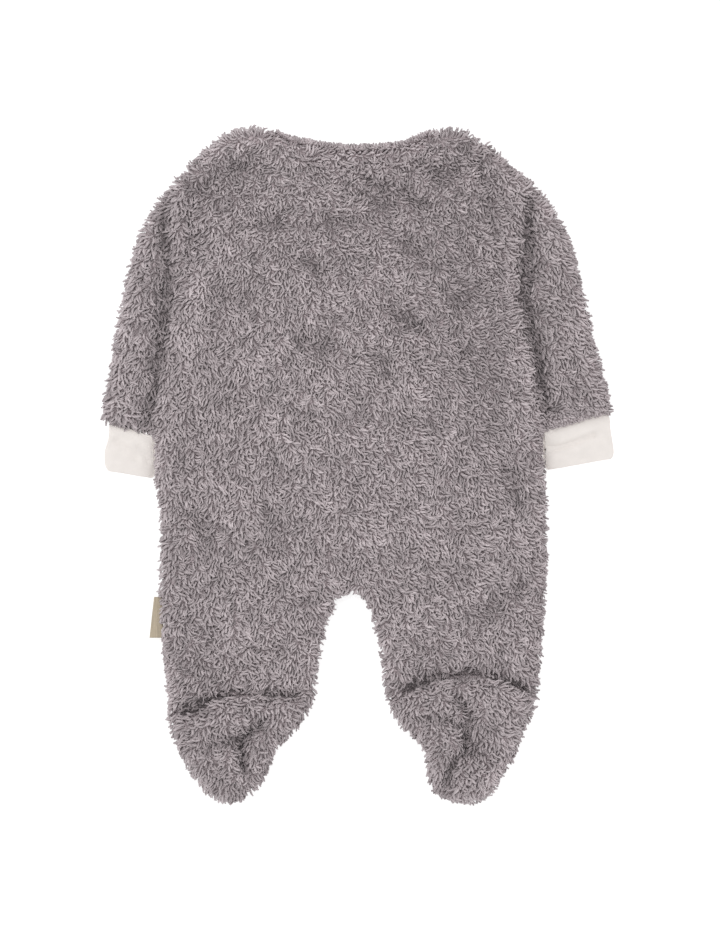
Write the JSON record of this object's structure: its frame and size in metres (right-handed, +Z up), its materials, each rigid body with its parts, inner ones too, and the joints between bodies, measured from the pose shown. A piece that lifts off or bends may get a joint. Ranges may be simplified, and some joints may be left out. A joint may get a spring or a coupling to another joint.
{
  "type": "onesie pajama",
  "caption": "Footed newborn onesie in thick teddy pile with long sleeves and doubled jersey cuffs, laid flat with its back up.",
  "frame": {"origin": "on the surface the garment lies on, under the middle of its box", "axes": "+X across towards the wearer's right, which is also the right of the view from above, +Y towards the neck, +Z up from the surface, out of the back"},
  "size_m": [0.3784, 0.5016, 0.0224],
  "materials": {
    "teddy_pile": "mauve-grey curly teddy pile",
    "cuff_jersey": "off-white fine jersey",
    "label_tape": "beige woven tape, bare",
    "stud_metal": "satin press-stud caps"
  },
  "bodies": {
    "root": {"back": "teddy_pile", "front_left": "teddy_pile", "front_right": "teddy_pile", "sleeve_left": "teddy_pile", "sleeve_right": "teddy_pile", "sole_left": "teddy_pile", "sole_right": "teddy_pile", "neck_band": "teddy_pile", "cuff_left": "cuff_jersey", "cuff_right": "cuff_jersey", "label": "label_tape", "stud_1": "stud_metal", "stud_2": "stud_metal", "stud_3": "stud_metal", "stud_4": "stud_metal", "stud_5": "stud_metal", "stud_6": "stud_metal"}
  },
  "joints": []
}
